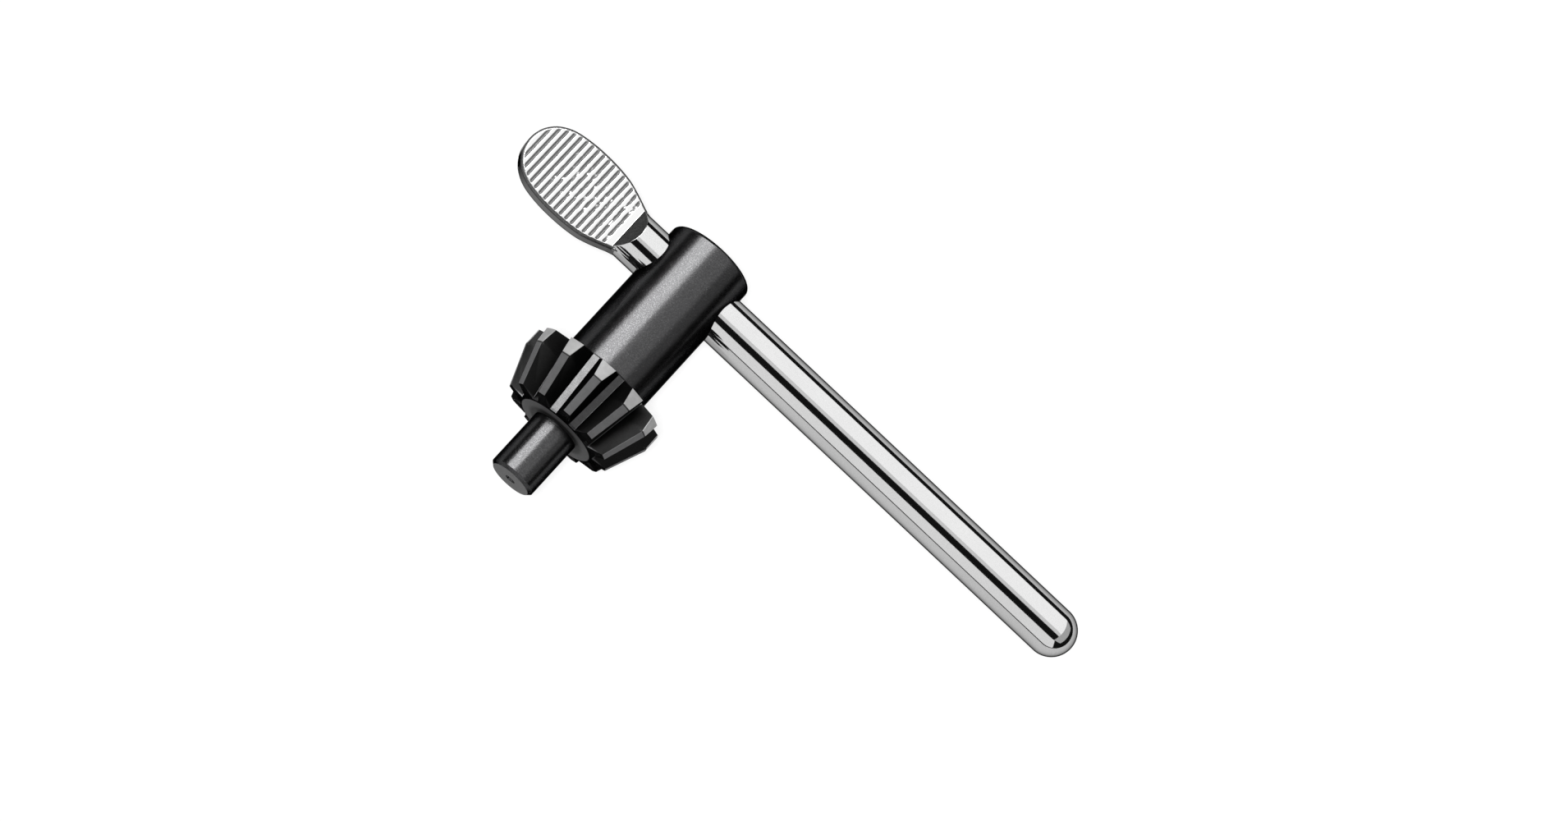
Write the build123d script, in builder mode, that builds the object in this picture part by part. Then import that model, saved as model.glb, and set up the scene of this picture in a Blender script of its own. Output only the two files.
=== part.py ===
from build123d import *
import os
from math import asin, sin, cos, radians, degrees, tan

# Drill chuck key with a thumb handle, millimetres.
# Frame: the origin is where the hub axis crosses the handle axis.
#   +X runs along the handle towards its domed end,
#   the hub axis lies along Y with the pilot towards -Y,
#   +Z is the normal of the paddle's ribbed face.
# Two separate pieces: key_body (hub, bevel pinion and pilot) and thumb_handle.

# ---------------------------------------------------------------- hub
HUB_R = 7.55            # plain cylindrical hub
HUB_TOP = 6.15          # flat top of the hub, measured from the handle axis
HUB_TOP_FILLET = 0.7
BORE_R = 4.15           # cross bore for the handle, a press fit

# ------------------------------------------------------------- pinion
TEETH = 12
TOOTH_PHASE = -5.2      # degrees from +Z to the crest of the first tooth
GEAR_R = 12.25          # greatest radius, over the lands
BACK_IN = 20.05         # back cone where it leaves the hub
BACK_OUT = 21.14        # back edge of the lands
LAND_END = 23.87        # front edge of the cylindrical lands
CREST_R = 9.75          # crest radius at the toe
CREST_END = 30.41
FACE_R = 6.7            # flat front face round the pilot
FACE = 30.95
ROOT_A, ROOT_A_R = 20.60, 9.60    # gullet floor, back
ROOT_B, ROOT_B_R = 31.00, 7.10    # gullet floor, front
FLOOR_HALF = 0.60       # half the width of the gullet floor
LAND_BACK_HALF = 1.34   # half width of a land at its back edge
LAND_FRONT_HALF = 0.70  # half width of a land at its front edge
TOE_HALF = 0.60         # half width of the crest at the toe

# -------------------------------------------------------------- pilot
PILOT_R = 7.94 / 2
PILOT_END = 40.90       # end of the cylindrical length
TIP = 41.45             # end face
TIP_R = 3.40
CENTRE_HOLE_R = 0.90    # centre-drilled mouth
CENTRE_HOLE_DEPTH = 1.60
CENTRE_DRILL_R = 0.45

# ------------------------------------------------------------- handle
ROD_R = BORE_R
DOME_X = 77.79          # centre of the hemispherical end
NECK_X = -14.20         # where the round neck starts inside the paddle's root
PADDLE_HALF_T = 1.65
PADDLE_TIP = -33.25
RIB_PITCH = 1.109
RIB_FIRST = -13.60      # crest of the rib nearest the neck
RIB_COUNT = 17
RIB_DEPTH = 0.28
RIB_CREST = 0.40        # flat left on top of each rib
RIB_INSET = 0.40        # plain border round the ribbed field
FACE_END = -12.75       # the flat face stops here and climbs to the neck
CLIMB_RUN = 2.00
CLIMB_RISE = ROD_R - PADDLE_HALF_T
PADDLE_EDGE = 0.22      # broken edge round the paddle

# half outline of the paddle: x, half width
OUTLINE = [
    (-33.02, 1.60),
    (-32.45, 2.95),
    (-31.35, 4.30),
    (-29.80, 5.33),
    (-28.00, 5.95),
    (-25.40, 6.33),
    (-22.90, 6.43),
    (-20.20, 6.33),
    (-17.60, 5.99),
    (-15.60, 5.40),
    (-14.00, 4.80),
    (-12.60, 4.26),
    (-11.30, 3.92),
]
OUTLINE_END = (-9.60, 3.80)
# the whole rim in one run, from the neck round the tip and back
RIM = (
    [OUTLINE_END] + OUTLINE[::-1] + [(PADDLE_TIP, 0)]
    + [(x, -y) for x, y in OUTLINE] + [(OUTLINE_END[0], -OUTLINE_END[1])]
)


def drawn_in(points, amount):
    """The rim's points moved inwards by amount, square to the rim."""
    moved = []
    last = len(points) - 1
    for i, (x, y) in enumerate(points):
        ax, ay = points[max(i - 1, 0)]
        bx, by = points[min(i + 1, last)]
        if i in (0, last):
            moved.append((x, y - amount if y > 0 else y + amount))
            continue
        run = ((bx - ax) ** 2 + (by - ay) ** 2) ** 0.5
        moved.append((x - amount * (by - ay) / run, y + amount * (bx - ax) / run))
    return moved


def root_r(z):
    """Radius of the gullet floor at a distance z below the handle axis."""
    return ROOT_A_R + (z - ROOT_A) * (ROOT_B_R - ROOT_A_R) / (ROOT_B - ROOT_A)


def flank_slope(z, crest_r, half):
    """Sideways run of a gullet flank for one millimetre of height."""
    a = radians(180 / TEETH) - asin(half / crest_r)
    return (crest_r * sin(a) - FLOOR_HALF) / (crest_r * cos(a) - root_r(z))


SLOPE_BACK = flank_slope(BACK_OUT, GEAR_R, LAND_BACK_HALF)
SLOPE_LAND = flank_slope(LAND_END, GEAR_R, LAND_FRONT_HALF)
SLOPE_TOE = flank_slope(CREST_END, CREST_R, TOE_HALF)
CUT_BACK = 19.20        # the gullet cutter starts clear of the back cone
CUT_FRONT = 32.00
CUT_TOP = 14.00
slope_cut_back = SLOPE_BACK + (CUT_BACK - BACK_OUT) * (SLOPE_LAND - SLOPE_BACK) / (LAND_END - BACK_OUT)
slope_cut_front = SLOPE_TOE + (CUT_FRONT - CREST_END) * (SLOPE_TOE - SLOPE_LAND) / (CREST_END - LAND_END)


def axis_plane(z):
    """Plane square to the hub axis, local x along +X and local y along +Z."""
    return Plane(origin=(0, -z, 0), x_dir=(1, 0, 0), z_dir=(0, -1, 0))


# ------------------------------------------------- cutter for one gullet
with BuildPart() as gullet_cutter:
    for z, slope in (
        (CUT_BACK, slope_cut_back),
        (LAND_END, SLOPE_LAND),
        (CUT_FRONT, slope_cut_front),
    ):
        r = root_r(z)
        top = FLOOR_HALF + slope * (CUT_TOP - r)
        with BuildSketch(axis_plane(z)):
            Polygon(
                (-FLOOR_HALF, r), (FLOOR_HALF, r), (top, CUT_TOP), (-top, CUT_TOP),
                align=None,
            )
    loft(ruled=True)

# ---------------------------------------------------------- key body
with BuildPart() as key_body:
    # turned blank: hub, back cone, lands, crest cone, toe, front face, pilot
    with BuildSketch(Plane.XY):
        with BuildLine():
            Polyline(
                (0, HUB_TOP), (HUB_R, HUB_TOP),
                (HUB_R, -BACK_IN),
                (GEAR_R, -BACK_OUT), (GEAR_R, -LAND_END),
                (CREST_R, -CREST_END), (FACE_R, -FACE),
                (PILOT_R, -FACE), (PILOT_R, -PILOT_END),
                (TIP_R, -TIP),
                (CENTRE_HOLE_R, -TIP),
                (CENTRE_DRILL_R, -TIP + (CENTRE_HOLE_R - CENTRE_DRILL_R) / tan(radians(30))),
                (CENTRE_DRILL_R, -TIP + CENTRE_HOLE_DEPTH),
                (0, -TIP + CENTRE_HOLE_DEPTH + CENTRE_DRILL_R / tan(radians(59))),
                close=True,
            )
        make_face()
    revolve(axis=Axis.Y)
    fillet(
        key_body.edges().filter_by(GeomType.CIRCLE).sort_by(Axis.Y)[-1],
        HUB_TOP_FILLET,
    )
    # twelve milled gullets
    for i in range(TEETH):
        add(
            gullet_cutter.part.rotate(Axis.Y, TOOTH_PHASE + (i + 0.5) * 360 / TEETH),
            mode=Mode.SUBTRACT,
        )
    # cross bore for the handle
    with BuildSketch(Plane.YZ.offset(-HUB_R - 1)):
        Circle(BORE_R)
    extrude(amount=2 * HUB_R + 2, mode=Mode.SUBTRACT)
key_body.part.label = "key_body"

# ------------------------------------- ribbed field, as the metal removed
with BuildPart() as rib_cutter:
    # the field: the paddle's outline drawn in by the border
    with BuildSketch(Plane.XY.offset(PADDLE_HALF_T - RIB_DEPTH)):
        with BuildLine():
            rim = Spline(*drawn_in(RIM, RIB_INSET), tangents=[(-1, 0), (1, 0)])
            Line(rim @ 1, rim @ 0)
        make_face()
    extrude(amount=RIB_DEPTH + 0.2)
    # one V groove between each pair of rib crests, and none past the first rib
    with BuildSketch(Plane.XZ.offset(-10)):
        for i in range(RIB_COUNT):
            x0 = RIB_FIRST - i * RIB_PITCH
            Polygon(
                (x0 - RIB_CREST / 2, PADDLE_HALF_T + 0.3),
                (x0 - RIB_CREST / 2, PADDLE_HALF_T),
                (x0 - RIB_PITCH / 2 + 0.02, PADDLE_HALF_T - RIB_DEPTH),
                (x0 - RIB_PITCH / 2 - 0.02, PADDLE_HALF_T - RIB_DEPTH),
                (x0 - RIB_PITCH + RIB_CREST / 2, PADDLE_HALF_T),
                (x0 - RIB_PITCH + RIB_CREST / 2, PADDLE_HALF_T + 0.3),
                align=None,
            )
    extrude(amount=20, mode=Mode.INTERSECT)

# ------------------------------------------------------ thumb handle
with BuildPart() as thumb_handle:
    # flattened oval
    with BuildSketch(Plane.XY.offset(-PADDLE_HALF_T + PADDLE_EDGE)):
        with BuildLine():
            rim = Spline(*RIM, tangents=[(-1, 0), (1, 0)])
            Line(rim @ 1, rim @ 0)
        make_face()
    extrude(amount=2 * (PADDLE_HALF_T - PADDLE_EDGE))
    # broken edge round both faces
    for side in (1, -1):
        for height, lean in ((PADDLE_HALF_T - PADDLE_EDGE, 0), (PADDLE_HALF_T, PADDLE_EDGE)):
            with BuildSketch(Plane.XY.offset(side * height)):
                with BuildLine():
                    rim = Spline(*drawn_in(RIM, lean), tangents=[(-1, 0), (1, 0)])
                    Line(rim @ 1, rim @ 0)
                make_face()
        loft()
    # round neck and rod with a hemispherical end
    with BuildSketch(Plane.XY):
        with BuildLine():
            Line((NECK_X, 0), (NECK_X, ROD_R))
            Line((NECK_X, ROD_R), (DOME_X, ROD_R))
            RadiusArc((DOME_X, ROD_R), (DOME_X + ROD_R, 0), ROD_R)
            Line((DOME_X + ROD_R, 0), (NECK_X, 0))
        make_face()
    revolve(axis=Axis.X)
    # steep faces that climb from the flat of the paddle to the round neck
    with BuildSketch(Plane.XZ.offset(-10)):
        Polygon(
            (NECK_X - 1, PADDLE_HALF_T), (FACE_END, PADDLE_HALF_T),
            (FACE_END + CLIMB_RUN * 1.2, PADDLE_HALF_T + CLIMB_RISE * 1.2),
            (NECK_X - 1, PADDLE_HALF_T + CLIMB_RISE * 1.2),
            align=None,
        )
        Polygon(
            (NECK_X - 1, -PADDLE_HALF_T), (FACE_END, -PADDLE_HALF_T),
            (FACE_END + CLIMB_RUN * 1.2, -PADDLE_HALF_T - CLIMB_RISE * 1.2),
            (NECK_X - 1, -PADDLE_HALF_T - CLIMB_RISE * 1.2),
            align=None,
        )
    extrude(amount=20, mode=Mode.SUBTRACT)
    # ribs on both faces
    add(rib_cutter.part, mode=Mode.SUBTRACT)
    add(rib_cutter.part.mirror(Plane.XY), mode=Mode.SUBTRACT)
thumb_handle.part.label = "thumb_handle"

os.makedirs("parts", exist_ok=True)
export_step(key_body.part, "parts/key_body.step")
export_step(thumb_handle.part, "parts/thumb_handle.step")
print("key_body", round(key_body.part.volume, 2), key_body.part.bounding_box())
print("thumb_handle", round(thumb_handle.part.volume, 2), thumb_handle.part.bounding_box())
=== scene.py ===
import bpy, bmesh, math
import numpy as np
from mathutils import Vector, Matrix


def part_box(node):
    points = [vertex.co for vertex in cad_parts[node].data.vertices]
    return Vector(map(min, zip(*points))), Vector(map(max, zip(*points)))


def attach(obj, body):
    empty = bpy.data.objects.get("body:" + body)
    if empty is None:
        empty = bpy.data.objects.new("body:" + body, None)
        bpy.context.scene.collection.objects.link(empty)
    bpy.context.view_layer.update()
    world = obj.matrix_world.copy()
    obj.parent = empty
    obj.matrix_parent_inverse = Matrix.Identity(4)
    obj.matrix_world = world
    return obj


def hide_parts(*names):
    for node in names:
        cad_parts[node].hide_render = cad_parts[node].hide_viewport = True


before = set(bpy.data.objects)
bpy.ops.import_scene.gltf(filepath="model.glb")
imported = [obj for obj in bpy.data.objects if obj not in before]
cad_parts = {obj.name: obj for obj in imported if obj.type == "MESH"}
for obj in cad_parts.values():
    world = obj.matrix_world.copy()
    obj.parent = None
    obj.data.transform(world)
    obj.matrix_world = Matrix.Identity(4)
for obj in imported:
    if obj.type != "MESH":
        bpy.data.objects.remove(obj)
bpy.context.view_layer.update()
scene = bpy.context.scene
scene.view_settings.view_transform = "Standard"
scene.view_settings.look = "None"

MM = 0.001
key, handle_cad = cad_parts["key_body"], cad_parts["thumb_handle"]

# ---------------------------------------------------------------- camera
right = Vector((0.7268405122840046, 0.6372782794356566, 0.2560844865708476))
down = Vector((0.6830534866709532, -0.7096655035635763, -0.17266385666522469))
ahead = Vector((0.07169940062078124, 0.30041848746604227, -0.9511087889086273))
eye = Vector((-27.028892825854065, -217.24664190370316, 676.103714898812)) * MM
cam_data = bpy.data.cameras.new("camera")
cam_data.sensor_fit = "HORIZONTAL"
cam_data.sensor_width = 36.0
cam_data.lens = 105.84948050179014
cam_data.clip_start, cam_data.clip_end = 0.01, 50.0
cam = bpy.data.objects.new("camera", cam_data)
scene.collection.objects.link(cam)
cam.matrix_world = Matrix((
    (right.x, -down.x, -ahead.x, eye.x),
    (right.y, -down.y, -ahead.y, eye.y),
    (right.z, -down.z, -ahead.z, eye.z),
    (0, 0, 0, 1),
))
scene.camera = cam

# ---------------------------------------------------------------- floor
low_z = min(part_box("key_body")[0].z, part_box("thumb_handle")[0].z)
floor_mesh = bpy.data.meshes.new("floor")
floor_mesh.from_pydata([(-4, -4, low_z), (4, -4, low_z), (4, 4, low_z), (-4, 4, low_z)], [], [(0, 1, 2, 3)])
floor = bpy.data.objects.new("floor", floor_mesh)
scene.collection.objects.link(floor)
fm = bpy.data.materials.new("pale_floor")
fm.use_nodes = True
fb = fm.node_tree.nodes["Principled BSDF"]
fb.inputs["Base Color"].default_value = (0.26, 0.26, 0.26, 1)
fb.inputs["Roughness"].default_value = 0.9
fb.inputs["Specular IOR Level"].default_value = 0.0
fb.inputs["Emission Color"].default_value = (1, 1, 1, 1)      # a backlit table, as small parts are shown on
fb.inputs["Emission Strength"].default_value = 0.80
floor_mesh.materials.append(fm)

# a pale wall far round the table, which reflections don't show
ring = [(3.9 * math.cos(k * math.pi / 32), 3.9 * math.sin(k * math.pi / 32)) for k in range(64)]
wall_mesh = bpy.data.meshes.new("backdrop")
wall_mesh.from_pydata([(u, v, low_z) for u, v in ring] + [(u, v, 3.0) for u, v in ring], [],
                      [(k, (k + 1) % 64, 64 + (k + 1) % 64, 64 + k) for k in range(64)])
backdrop = bpy.data.objects.new("backdrop", wall_mesh)
scene.collection.objects.link(backdrop)
bd = bpy.data.materials.new("pale_wall")
bd.use_nodes = True
bb = bd.node_tree.nodes["Principled BSDF"]
bb.inputs["Base Color"].default_value = (0, 0, 0, 1)
bb.inputs["Specular IOR Level"].default_value = 0.0
bb.inputs["Emission Color"].default_value = (1, 1, 1, 1)
bb.inputs["Emission Strength"].default_value = 1.0
wall_mesh.materials.append(bd)
backdrop.visible_glossy = False
backdrop.visible_diffuse = False
backdrop.visible_shadow = False

# ---------------------------------------------------------------- lights
def panel(name, x0, x1, y0, y1, h, strength):
    """A soft box overhead, given by its edges as slopes x/z and y/z seen from the object, and how bright it looks."""
    d = bpy.data.lights.new(name, "AREA")
    d.shape = "RECTANGLE"
    d.size, d.size_y = (x1 - x0) * h, (y1 - y0) * h
    d.energy = strength * d.size * d.size_y * math.pi
    o = bpy.data.objects.new(name, d)
    o.location = ((x0 + x1) / 2 * h, (y0 + y1) / 2 * h, h)
    o.visible_camera = False
    o.visible_diffuse = False
    scene.collection.objects.link(o)
    return o

panel("top_box", -0.30, 0.75, 0.017, 2.55, 2.0, 1.72)
panel("top_edge", -0.30, 0.75, -0.24, 0.017, 2.0, 1.12)
panel("end_box", 0.75, 2.40, -0.85, 2.55, 2.0, 0.7)
panel("key_box", -1.55, -0.30, -0.25, 1.1, 2.0, 10.5)

# a tall soft box standing on the pilot's side
wall_data = bpy.data.lights.new("side_box", "AREA")
wall_data.shape = "RECTANGLE"
wall_data.size, wall_data.size_y = 3.4, 1.58
wall_data.energy = 1.34 * wall_data.size * wall_data.size_y * math.pi
wall = bpy.data.objects.new("side_box", wall_data)
wall.location = (-0.2, -1.5, 0.91)
wall.rotation_euler = (math.pi / 2, 0, 0)
wall.visible_camera = False
wall.visible_diffuse = False
scene.collection.objects.link(wall)

# light on the floor from beside the lens, so that its shadows hide behind the key
sun_data = bpy.data.lights.new("fill", "SUN")
sun_data.energy = 3.1
sun_data.angle = math.radians(11)
sun = bpy.data.objects.new("fill", sun_data)
sun.rotation_euler = (-ahead).to_track_quat("Z", "Y").to_euler()
sun.visible_glossy = False
scene.collection.objects.link(sun)

world = bpy.data.worlds.new("world")
scene.world = world
world.use_nodes = True
world.node_tree.nodes["Background"].inputs["Color"].default_value = (0.9, 0.9, 0.9, 1)
world.node_tree.nodes["Background"].inputs["Strength"].default_value = 0.012


# ------------------------------------------------------- node shorthands
class Graph:
    """Short names for building a material's nodes."""

    def __init__(self, name):
        self.m = bpy.data.materials.new(name)
        self.m.use_nodes = True
        self.t = self.m.node_tree
        self.b = self.t.nodes["Principled BSDF"]
        self.co = self.t.nodes.new("ShaderNodeTexCoord").outputs["Object"]
        s = self.t.nodes.new("ShaderNodeSeparateXYZ")
        self.t.links.new(self.co, s.inputs[0])
        self.x, self.y, self.z = s.outputs

    def put(self, sock, v):
        if isinstance(v, (int, float)):
            sock.default_value = v
        elif isinstance(v, tuple):
            sock.default_value = v
        else:
            self.t.links.new(v, sock)

    def math(self, op, a, b=0.0, c=0.0):
        n = self.t.nodes.new("ShaderNodeMath")
        n.operation = op
        for s, v in zip(n.inputs, (a, b, c)):
            self.put(s, v)
        return n.outputs[0]

    def step(self, v, lo, hi, a=0.0, b=1.0):
        """a below lo, b above hi, and smooth between."""
        n = self.t.nodes.new("ShaderNodeMapRange")
        n.interpolation_type = "SMOOTHSTEP"
        for s, q in zip(n.inputs, (v, lo, hi, a, b)):
            self.put(s, q)
        return n.outputs[0]

    def near(self, v, centre, width):
        """1 at centre, 0 further off than width."""
        return self.step(self.math("ABSOLUTE", self.math("SUBTRACT", v, centre)), 0.6 * width, width, 1.0, 0.0)

    def noise(self, scale, detail=3.0, rough=0.55, stretch=None, off=(0, 0, 0)):
        m = self.t.nodes.new("ShaderNodeMapping")
        self.put(m.inputs["Vector"], self.co)
        m.inputs["Scale"].default_value = stretch or (1, 1, 1)
        m.inputs["Location"].default_value = off
        n = self.t.nodes.new("ShaderNodeTexNoise")
        self.put(n.inputs["Vector"], m.outputs[0])
        n.inputs["Scale"].default_value = scale
        n.inputs["Detail"].default_value = detail
        n.inputs["Roughness"].default_value = rough
        return n.outputs["Fac"]

    def mix(self, f, a, b):
        n = self.t.nodes.new("ShaderNodeMix")
        n.data_type = "FLOAT"
        self.put(n.inputs[0], f)
        self.put(n.inputs[2], a)
        self.put(n.inputs[3], b)
        return n.outputs[0]

    def mix_colour(self, f, a, b):
        n = self.t.nodes.new("ShaderNodeMix")
        n.data_type = "RGBA"
        self.put(n.inputs[0], f)
        for s, v in ((n.inputs[6], a), (n.inputs[7], b)):
            self.put(s, (*v, 1) if isinstance(v, tuple) else v)
        return n.outputs[2]

    def bump(self, height, distance, strength, normal=None):
        n = self.t.nodes.new("ShaderNodeBump")
        n.inputs["Strength"].default_value = strength
        n.inputs["Distance"].default_value = distance
        self.put(n.inputs["Height"], height)
        if normal is not None:
            self.t.links.new(normal, n.inputs["Normal"])
        return n.outputs[0]


# ------------------------------------------------------------ black oxide
g = Graph("black_oxide_satin")
x, y, z = g.x, g.y, g.z
r = g.math("SQRT", g.math("ADD", g.math("MULTIPLY", x, x), g.math("MULTIPLY", z, z)))
far = g.math("MULTIPLY", y, -1.0)                     # distance towards the pilot
in_gear = g.math("MULTIPLY", g.step(far, 0.0200, 0.0206), g.step(far, 0.0304, 0.0308, 1.0, 0.0))
land = g.math("MULTIPLY", g.step(r, 0.01210, 0.01219), g.step(far, 0.0238, 0.0240, 1.0, 0.0))
crest_r = g.math("SUBTRACT", 0.01225, g.math("MULTIPLY", g.math("SUBTRACT", far, 0.02387), 2.5 / 6.54))
crest = g.math("MULTIPLY", g.near(r, crest_r, 0.00011), g.math("MULTIPLY", g.step(far, 0.0238, 0.0240), in_gear))
root_r = g.math("SUBTRACT", 0.0096, g.math("MULTIPLY", g.math("SUBTRACT", far, 0.0206), 2.5 / 10.4))
root = g.math("MULTIPLY", g.near(r, root_r, 0.00012), in_gear)
face = g.math("MULTIPLY", g.near(far, 0.03095, 0.00010), g.step(r, 0.00655, 0.0068, 1.0, 0.0))
end = g.step(far, 0.04138, 0.04143)
grain = g.noise(5200.0, 4.0, 0.6)
cloud = g.noise(260.0, 4.0, 0.55)
rub = g.noise(900.0, 5.0, 0.65, off=(0.3, 0.1, 0.2))
# turned lines round the hub and pilot, milled lines along the teeth
turned = g.noise(1.0, 3.0, 0.6, stretch=(60.0, 9000.0, 60.0))
wear = g.math("MULTIPLY", g.step(rub, 0.35, 0.75), 1.0)

base = g.mix_colour(cloud, (0.036, 0.036, 0.037), (0.046, 0.046, 0.047))
base = g.mix_colour(g.step(grain, 0.42, 0.72), base, (0.074, 0.074, 0.075))
base = g.mix_colour(g.step(g.noise(9000.0, 2.0, 0.6, off=(0.9, 0.2, 0.5)), 0.50, 0.75, 0.0, 0.7), base, (0.022, 0.022, 0.022))
# tooth flanks are painted near black, far darker than the oxide: painted shade between the teeth
flank = g.math("MULTIPLY", in_gear, g.math("SUBTRACT", 1.0, g.math("MAXIMUM", g.math("MAXIMUM", land, crest), root)))
base = g.mix_colour(flank, base, g.mix_colour(grain, (0.005, 0.005, 0.005), (0.013, 0.013, 0.013)))
base = g.mix_colour(g.math("MULTIPLY", root, g.mix(wear, 0.6, 1.0)), base, (0.088, 0.088, 0.089))
base = g.mix_colour(g.math("MULTIPLY", g.math("MAXIMUM", face, end), g.mix(wear, 0.75, 1.0)), base, g.mix_colour(end, (0.060, 0.060, 0.061), (0.12, 0.12, 0.12)))
# painted shade in the corners where the hub meets the gear and where the ring meets the pilot
painted_corner_shade = g.math("MULTIPLY", g.near(far, 0.01992, 0.00026), g.step(r, 0.0077, 0.0079, 1.0, 0.0))
painted_corner_shade = g.math("MAXIMUM", painted_corner_shade, g.math("MULTIPLY", g.near(far, 0.03090, 0.00022), g.step(r, 0.0046, 0.0056, 1.0, 0.0)))
base = g.mix_colour(g.math("MULTIPLY", painted_corner_shade, 0.92), base, (0.006, 0.006, 0.006))
base = g.mix_colour(g.math("MULTIPLY", crest, g.mix(wear, 0.80, 1.0)), base, (0.125, 0.125, 0.127))
base = g.mix_colour(g.math("MULTIPLY", land, g.mix(wear, 0.85, 1.0)), base, (0.42, 0.42, 0.42))
# a thin painted shade line along the front edge of the tooth lands
land_edge_painted_shade = g.math("MULTIPLY", g.near(far, 0.02388, 0.00015), g.step(r, 0.0116, 0.0119))
base = g.mix_colour(g.math("MULTIPLY", land_edge_painted_shade, 0.9), base, (0.020, 0.020, 0.020))
g.put(g.b.inputs["Base Color"], base)
bare = g.math("MAXIMUM", g.math("MAXIMUM", land, crest), g.math("MAXIMUM", face, end))
g.put(g.b.inputs["Metallic"], g.math("SUBTRACT", 1.0, g.math("MULTIPLY", bare, 0.85)))
g.b.inputs["Specular IOR Level"].default_value = 0.25
rough = g.math("ADD", g.mix(cloud, 0.19, 0.27), g.math("MULTIPLY", g.math("SUBTRACT", grain, 0.5), 0.18))
g.put(g.b.inputs["Roughness"], g.mix(bare, g.mix(flank, rough, 0.45), g.mix(rub, 0.50, 0.70)))
g.b.inputs["Specular Tint"].default_value = (0.0, 0.0, 0.0, 1)
n1 = g.bump(grain, 0.000012, 0.35)
n2 = g.bump(turned, 0.000006, 0.25, n1)
g.put(g.b.inputs["Normal"], n2)
black = g.m

# ----------------------------------------------------------- chrome plate
g = Graph("chrome_plate")
x, y, z = g.x, g.y, g.z
peel = g.noise(420.0, 3.0, 0.5)
fine = g.noise(3600.0, 4.0, 0.65)
drawn = g.noise(1.0, 3.0, 0.6, stretch=(120.0, 5200.0, 5200.0))
smear = g.noise(160.0, 4.0, 0.6, off=(0.4, 0.2, 0.0))
def painted(name):
    n_ = g.t.nodes.new("ShaderNodeAttribute")
    n_.attribute_name = name
    return n_.outputs["Fac"]


deep = painted("groove")
ramp_painted_shade = painted("ramp_painted_shade")
rim_painted_shade = painted("rim")
phase = g.math("FRACT", g.math("DIVIDE", g.math("SUBTRACT", -0.01360, x), 0.001109))
mottle = g.noise(7000.0, 3.0, 0.7, off=(0.1, 0.7, 0.3))
base = g.mix_colour(smear, (0.48, 0.48, 0.48), (0.52, 0.52, 0.52))
base = g.mix_colour(g.step(mottle, 0.35, 0.75), base, (0.42, 0.42, 0.42))
base = g.mix_colour(g.step(fine, 0.62, 0.80, 0.0, 0.5), base, (0.36, 0.36, 0.36))
base = g.mix_colour(g.step(x, -0.0131, -0.0127, 1.0, 0.0), base, (0.54, 0.54, 0.54))
# a dark painted shade line along the paddle's rolled rim
base = g.mix_colour(g.math("MULTIPLY", rim_painted_shade, g.mix(fine, 0.75, 1.0)), base, (0.035, 0.035, 0.035))
# the grooves are dull grey, and each is painted darker across its width towards the tip side as painted shade
dull_grey_and_painted_shade = g.mix_colour(g.step(phase, 0.30, 0.72), (0.27, 0.27, 0.27), (0.115, 0.115, 0.115))
dull_grey_and_painted_shade = g.mix_colour(g.step(fine, 0.45, 0.85), dull_grey_and_painted_shade, (0.30, 0.30, 0.30))
base = g.mix_colour(deep, base, dull_grey_and_painted_shade)
# the climb from the paddle to the neck is painted near black: painted shade
base = g.mix_colour(g.math("MULTIPLY", ramp_painted_shade, g.mix(fine, 0.8, 1.0)), base, (0.010, 0.010, 0.010))
g.put(g.b.inputs["Base Color"], base)
g.put(g.b.inputs["Metallic"], g.math("SUBTRACT", 1.0, g.math("MULTIPLY", deep, 0.9)))
g.b.inputs["Specular Tint"].default_value = (0.0, 0.0, 0.0, 1)
g.b.inputs["Specular IOR Level"].default_value = 0.25
rough = g.math("ADD", g.mix(smear, 0.045, 0.085), g.math("MULTIPLY", g.step(drawn, 0.55, 0.85), 0.05))
g.put(g.b.inputs["Roughness"], g.mix(g.math("MAXIMUM", g.math("MAXIMUM", deep, ramp_painted_shade), rim_painted_shade), rough, 0.42))
n1 = g.bump(peel, 0.00002, 0.12)
n2 = g.bump(fine, 0.000004, 0.2, n1)
g.put(g.b.inputs["Normal"], n2)
chrome = g.m

# ------------------------------------------------------------ key body
mesh = key.data.copy()
mesh.name = "blackened_key"
bm = bmesh.new()
bm.from_mesh(mesh)
bmesh.ops.remove_doubles(bm, verts=bm.verts, dist=2e-6)
bmesh.ops.dissolve_limit(bm, angle_limit=math.radians(1.2), verts=bm.verts, edges=bm.edges, delimit={"NORMAL"})
bmesh.ops.recalc_face_normals(bm, faces=bm.faces)
bm.to_mesh(mesh)
bm.free()
mesh.materials.clear()
mesh.materials.append(black)
for p in mesh.polygons:
    p.use_smooth = True
    p.material_index = 0
mesh.set_sharp_from_angle(angle=math.radians(24))
body = bpy.data.objects.new("blackened_key", mesh)
scene.collection.objects.link(body)
bevel = body.modifiers.new("broken_edges", "BEVEL")
bevel.width = 0.00010
bevel.segments = 2
bevel.limit_method = "ANGLE"
bevel.angle_limit = math.radians(24)
bevel.use_clamp_overlap = True
bevel.harden_normals = True
graph = bpy.context.evaluated_depsgraph_get()
mesh = bpy.data.meshes.new_from_object(body.evaluated_get(graph), preserve_all_data_layers=True, depsgraph=graph)
mesh.name = "blackened_key"
body.modifiers.clear()
body.data = mesh

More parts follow.
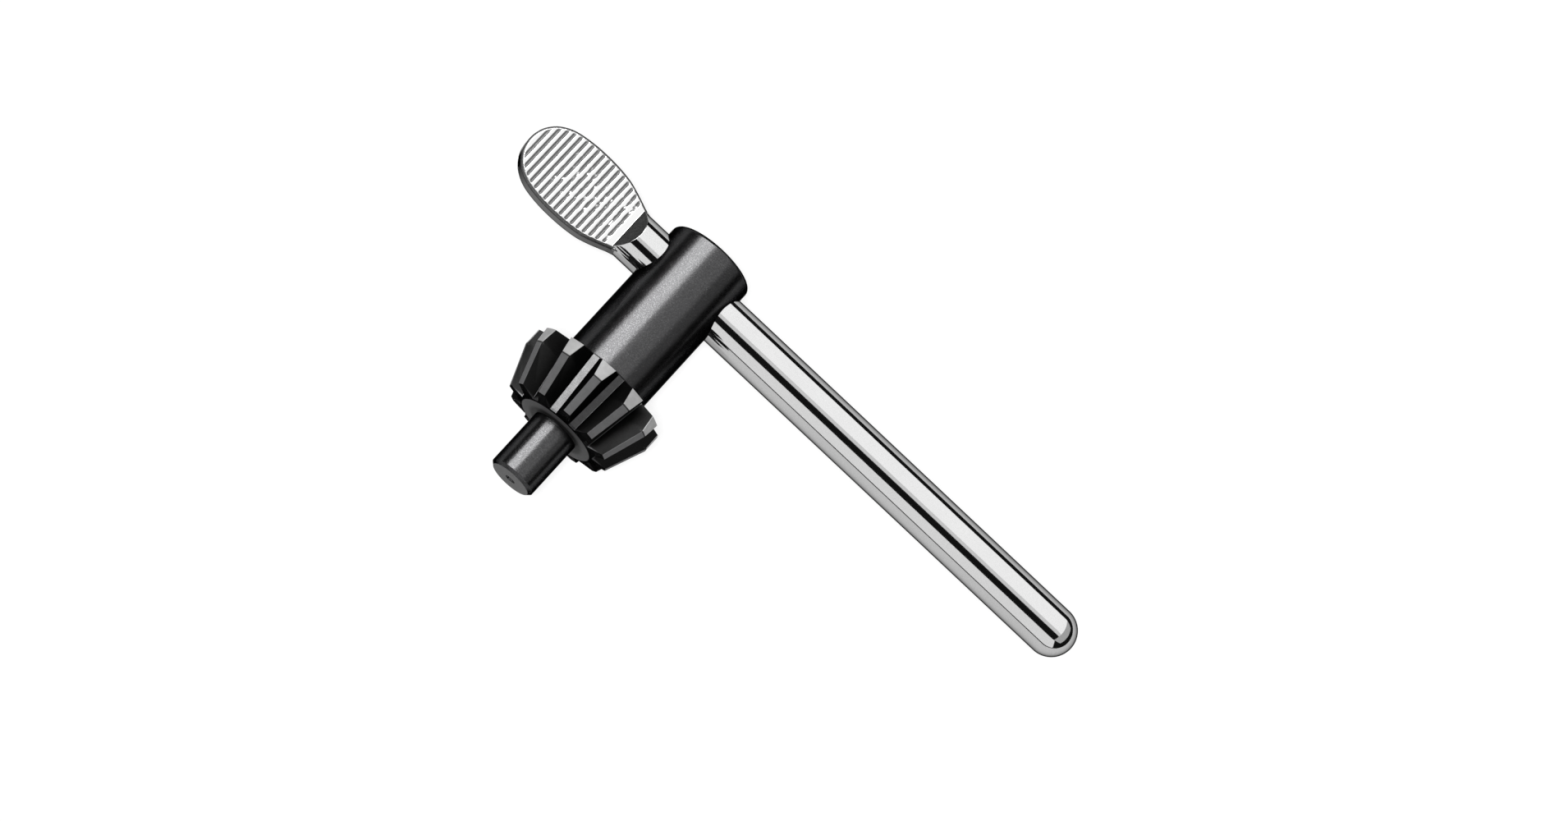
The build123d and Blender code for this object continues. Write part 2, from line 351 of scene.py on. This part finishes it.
# the turned surfaces take their true normals, so that they shade round and not in facets
co = np.array([v.co for v in mesh.vertices]) * 1000
normal = np.array([c.vector for c in mesh.corner_normals])
lean = math.atan2(2.5, 6.54)
for p in mesh.polygons:
    at = co[list(p.vertices)]
    rad = np.hypot(at[:, 0], at[:, 2])
    cross = np.hypot(at[:, 1], at[:, 2])
    away = -at[:, 1]
    true = None
    if np.all(abs(rad - 7.55) < 0.02) or np.all(abs(rad - 3.97) < 0.02) or np.all(abs(rad - 12.25) < 0.03):
        true = np.column_stack([at[:, 0] / rad, 0 * rad, at[:, 2] / rad])
    elif np.all(abs(cross - 4.15) < 0.02):
        true = np.column_stack([0 * cross, -at[:, 1] / cross, -at[:, 2] / cross])
    elif np.all(abs(rad - (12.25 - (away - 23.87) * 2.5 / 6.54)) < 0.03):
        true = np.column_stack([at[:, 0] / rad * math.cos(lean), 0 * rad - math.sin(lean), at[:, 2] / rad * math.cos(lean)])
    if true is not None and float(np.dot(true.mean(axis=0), np.array(p.normal))) > 0.9:
        normal[list(p.loop_indices)] = true
mesh.normals_split_custom_set([tuple(n_) for n_ in normal])
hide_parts("key_body")
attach(body, "root")
print("key mesh", len(mesh.vertices), len(mesh.polygons))

# --------------------------------------------------------- thumb handle
ROD_R, HALF_T, TIP = 4.15, 1.65, -33.25
OUTLINE = [
    (-33.02, 1.60), (-32.45, 2.95), (-31.35, 4.30), (-29.80, 5.33), (-28.00, 5.95),
    (-25.40, 6.33), (-22.90, 6.43), (-20.20, 6.33), (-17.60, 5.99), (-15.60, 5.40),
    (-14.00, 4.80), (-12.60, 4.26), (-11.30, 3.92), (-9.60, 3.80),
]
FACE_END, CLIMB_RUN, NECK_X, DOME_X = -12.75, 2.00, -14.20, 77.79
RIB_FIRST, RIB_PITCH, RIB_COUNT, RIB_DEPTH, RIB_CREST = -13.60, 1.109, 17, 0.28, 0.40
EDGE_RUN, EDGE_DROP = 0.55, 0.45        # the edge rolls over like a quarter of an ellipse


def smooth_curve(points, per):
    """A Catmull-Rom curve, centripetal enough for evenly spaced points, sampled per times between neighbours."""
    p = np.array(points, float)
    out = []
    for i in range(len(p) - 1):
        a = p[i - 1] if i > 0 else 2 * p[i] - p[i + 1]
        b, c = p[i], p[i + 1]
        d = p[i + 2] if i + 2 < len(p) else 2 * p[i + 1] - p[i]
        t = np.linspace(0, 1, per, endpoint=False)[:, None]
        out.append(0.5 * (2 * b + (c - a) * t + (2 * a - 5 * b + 4 * c - d) * t**2 + (3 * b - a - 3 * c + d) * t**3))
    return np.vstack(out + [p[-1:]])


half = [(x_, -w_) for x_, w_ in OUTLINE[:3]][::-1] + [(TIP, 0.0)] + OUTLINE
rim = smooth_curve(half, 40)
rim = rim[3 * 40:]                                   # from the tip to the neck, one side
rim[0] = (TIP, 0.0)
rim = np.column_stack([rim[:, 0], np.maximum(rim[:, 1], 0)])
rim_x = np.maximum.accumulate(rim[:, 0])


def plate_w(xs):
    return np.interp(xs, rim_x, rim[:, 1])


seg_a = np.vstack([rim[:-1], rim[:-1] * (1, -1)])
seg_b = np.vstack([rim[1:], rim[1:] * (1, -1)])


def rim_distance(px, py):
    """Distance in plan from points inside the paddle to its rim."""
    best = np.full(px.shape, 1e9)
    for (ax, ay), (bx, by) in zip(seg_a, seg_b):
        ex, ey = bx - ax, by - ay
        L = ex * ex + ey * ey
        if L < 1e-12:
            continue
        t = np.clip(((px - ax) * ex + (py - ay) * ey) / L, 0, 1)
        best = np.minimum(best, (px - ax - t * ex) ** 2 + (py - ay - t * ey) ** 2)
    return np.sqrt(best)


def sstep(v, a, b):
    t = np.clip((v - a) / (b - a), 0, 1)
    return t * t * (3 - 2 * t)


def groove(xs):
    """How far the surface lies below the rib crests, at full depth."""
    k = (RIB_FIRST - xs) / RIB_PITCH
    inside = (k > -0.5 + 0.02) & (k < RIB_COUNT - 0.2)
    d = np.abs(k - np.round(k)) * RIB_PITCH            # distance from the nearest crest's centre
    flank = (RIB_PITCH - RIB_CREST) / 2
    v = np.clip((d - RIB_CREST / 2) / flank, 0, 1)
    v = np.where(k < 0, 0, v)
    v = 0.5 * v + 0.5 * v * v * (3 - 2 * v)            # edges a little rounded
    return RIB_DEPTH * np.where(inside, v, 0)


def lump(u, v, seed):
    """Smooth noise between 0 and 1 over a plane."""
    g_ = np.random.default_rng(seed).random((64, 64))
    iu, iv = np.floor(u).astype(int), np.floor(v).astype(int)
    fu, fv = u - iu, v - iv
    fu, fv = fu * fu * (3 - 2 * fu), fv * fv * (3 - 2 * fv)
    at = lambda a, b: g_[np.mod(a, 64), np.mod(b, 64)]
    low = at(iu, iv) * (1 - fu) + at(iu + 1, iv) * fu
    high = at(iu, iv + 1) * (1 - fu) + at(iu + 1, iv + 1) * fu
    return low * (1 - fv) + high * fv


def wobble(px, py):
    """How far the rib edges stray along the handle, most of all in the middle."""
    loose = 0.15 + 0.85 * sstep(px, -28.0, -22.0) * sstep(np.abs(py), 4.6, 2.6)
    return loose * (0.06 * (lump(px * 2.1, py * 1.2, 3) - 0.5) + 0.14 * (lump(px * 5.5, py * 3.4, 5) - 0.5))


def rubbed(px, py):
    """Where thumbs have worn the ribs down, in small patches about the middle."""
    w = lump(px * 1.3, py * 0.9, 9) * 0.55 + lump(px * 3.6, py * 2.6, 11) * 0.55
    return sstep(w, 0.68, 0.84) * sstep(px, -29.5, -24.5) * sstep(np.abs(py), 4.6, 2.6)


def top_height(px, py):
    D = rim_distance(px, py)
    inside = np.abs(py) <= plate_w(px) + 1e-9
    t = 1 - np.clip(D / EDGE_RUN, 0, 1)
    plate = HALF_T - EDGE_DROP * (1 - np.sqrt(np.maximum(1 - t * t, 0)))
    field = sstep(D, 0.48, 0.62) * (px < FACE_END)
    cut = groove(px + wobble(px, py)) * field * (1 - 0.8 * rubbed(px, py))
    plate = plate - cut
    plate = np.where(inside, plate, 0)
    round_ = np.sqrt(np.maximum(ROD_R**2 - py**2, 0))
    climb = HALF_T + (px - FACE_END) / CLIMB_RUN * (ROD_R - HALF_T)
    neck = np.where(px > FACE_END, np.minimum(round_, climb), 0)
    return np.maximum(plate, neck)


# stations along the handle
tip_run = TIP + (1 - np.cos(np.linspace(0, math.pi / 2, 26))) * 1.6
stations = list(tip_run) + list(np.arange(tip_run[-1] + 0.055, -9.6, 0.055)) + list(np.linspace(-9.55, DOME_X, 46))
dome = DOME_X + np.sin(np.linspace(0, math.pi / 2, 30))[1:] * ROD_R
stations = np.array(stations + list(dome))
N_TOP, N_WALL = 80, 5
theta = np.linspace(-math.pi / 2, math.pi / 2, N_TOP + 1)
rows = []
for sx in stations:
    if sx > DOME_X:
        w = math.sqrt(max(ROD_R**2 - (sx - DOME_X) ** 2, 0))
    elif sx > -9.6:
        w = ROD_R
    else:
        w = float(plate_w(sx))
        if sx > FACE_END:
            w = max(w, ROD_R * float(sstep(sx, FACE_END, FACE_END + 0.9)))
    ys = np.sin(theta) * w
    if sx > -9.6:
        zs = np.cos(theta) * w
        edge = 0.0
    else:
        zs = top_height(np.full_like(ys, sx), ys)
        edge = float(zs[0])
    wall = np.linspace(1, -1, N_WALL + 2)[1:-1]
    ring = [(sx, yy, zz) for yy, zz in zip(ys, zs)]
    ring += [(sx, ys[-1], zs[-1] * q) for q in wall]
    ring += [(sx, yy, -zz) for yy, zz in zip(ys[::-1], zs[::-1])]
    ring += [(sx, ys[0], -zs[0] * q) for q in wall]
    rows.append(ring)
rows = np.array(rows)
n_ring = rows.shape[1]
verts = (rows.reshape(-1, 3) * MM).tolist()
faces = []
for i in range(len(rows) - 1):
    for j in range(n_ring):
        k = (j + 1) % n_ring
        faces.append((i * n_ring + j, i * n_ring + k, (i + 1) * n_ring + k, (i + 1) * n_ring + j))
faces.append(tuple(range(n_ring))[::-1])
faces.append(tuple((len(rows) - 1) * n_ring + j for j in range(n_ring)))
mesh = bpy.data.meshes.new("chromed_handle")
mesh.from_pydata(verts, [], faces)
pts = rows.reshape(-1, 3)
D_ = rim_distance(pts[:, 0], pts[:, 1])
is_face = (pts[:, 0] < FACE_END) & (np.abs(pts[:, 1]) < plate_w(pts[:, 0]) - 0.2)
depth = groove(pts[:, 0] + wobble(pts[:, 0], pts[:, 1])) / RIB_DEPTH * sstep(D_, 0.48, 0.60) * (1 - rubbed(pts[:, 0], pts[:, 1]))
depth = np.where(is_face, sstep(depth, 0.06, 0.60), 0)
# masks for the painted shade along the rolled rim and on the climb to the neck
rim_painted_shade_mask = (pts[:, 0] < FACE_END + 0.4) & (D_ < 0.40) & (abs(pts[:, 2]) > 1.05)
climb_z = HALF_T + (pts[:, 0] - FACE_END) / CLIMB_RUN * (ROD_R - HALF_T)
ramp_painted_shade_mask = (pts[:, 0] > FACE_END + 0.06) & (pts[:, 0] < FACE_END + CLIMB_RUN + 0.1) & (abs(abs(pts[:, 2]) - climb_z) < 0.02)
for name_, value_ in (("groove", depth), ("ramp_painted_shade", ramp_painted_shade_mask.astype(float)), ("rim", rim_painted_shade_mask.astype(float))):
    mesh.attributes.new(name_, "FLOAT", "POINT").data.foreach_set("value", value_.astype(np.float32))
bm = bmesh.new()
bm.from_mesh(mesh)
bmesh.ops.remove_doubles(bm, verts=bm.verts, dist=2e-6)
bmesh.ops.dissolve_degenerate(bm, edges=bm.edges, dist=1e-6)
bmesh.ops.recalc_face_normals(bm, faces=bm.faces)
bm.to_mesh(mesh)
bm.free()
for p in mesh.polygons:
    p.use_smooth = True
mesh.materials.append(chrome)
handle = bpy.data.objects.new("chromed_handle", mesh)
scene.collection.objects.link(handle)
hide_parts("thumb_handle")
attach(handle, "root")
print("handle mesh", len(mesh.vertices), len(mesh.polygons))
